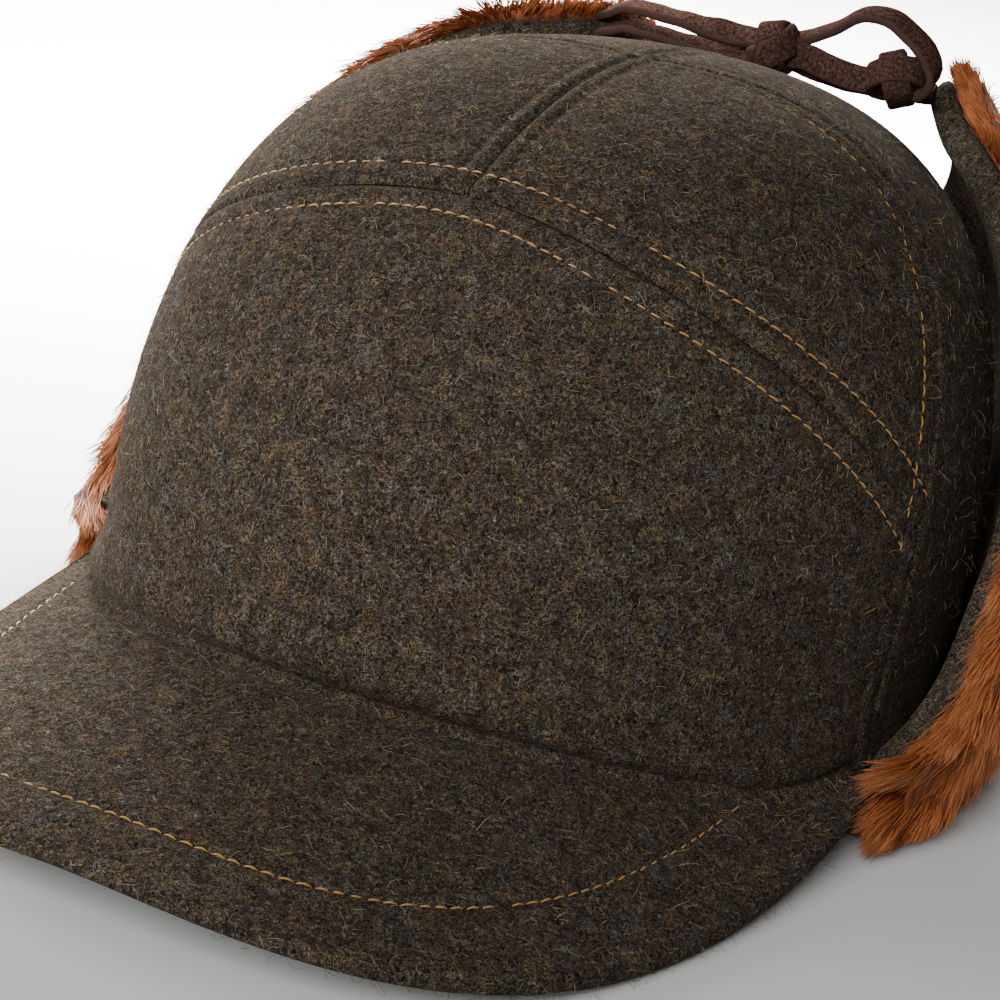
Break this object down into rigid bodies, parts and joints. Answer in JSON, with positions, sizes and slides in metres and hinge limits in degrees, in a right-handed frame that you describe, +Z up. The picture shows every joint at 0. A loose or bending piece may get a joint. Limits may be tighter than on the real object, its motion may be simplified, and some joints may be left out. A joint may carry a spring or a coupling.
{
  "type": "earflap cap",
  "caption": "Wool cap with a short curved brim and fur-lined ear and neck flaps turned up and laced over the crown; hollow for a head.",
  "frame": {"origin": "middle of the cap's footprint, on the surface it rests on, worked out without the laces and knots", "axes": "+Z up, -Y the way the brim points, +X the wearer's left"},
  "size_m": [0.2368, 0.305, 0.1437],
  "materials": {
    "crown_wool": "matte",
    "brim_wool": "matte",
    "flap_wool": "matte",
    "fur": "matte",
    "suede": "matte"
  },
  "bodies": {
    "root": {"front_panel": "crown_wool", "top_panel_left": "crown_wool", "top_panel_right": "crown_wool", "back_panel_left": "crown_wool", "back_panel_right": "crown_wool", "brim": "brim_wool", "ear_flap_left": "flap_wool", "ear_flap_right": "flap_wool", "neck_flap": "flap_wool", "ear_fur_left": "fur", "ear_fur_right": "fur", "neck_fur": "fur", "lace_upper": "suede", "lace_lower": "suede", "lace_loop": "suede", "lace_strap": "suede", "lace_left": "suede", "big_knot": "suede", "end_knot": "suede"}
  },
  "joints": []
}
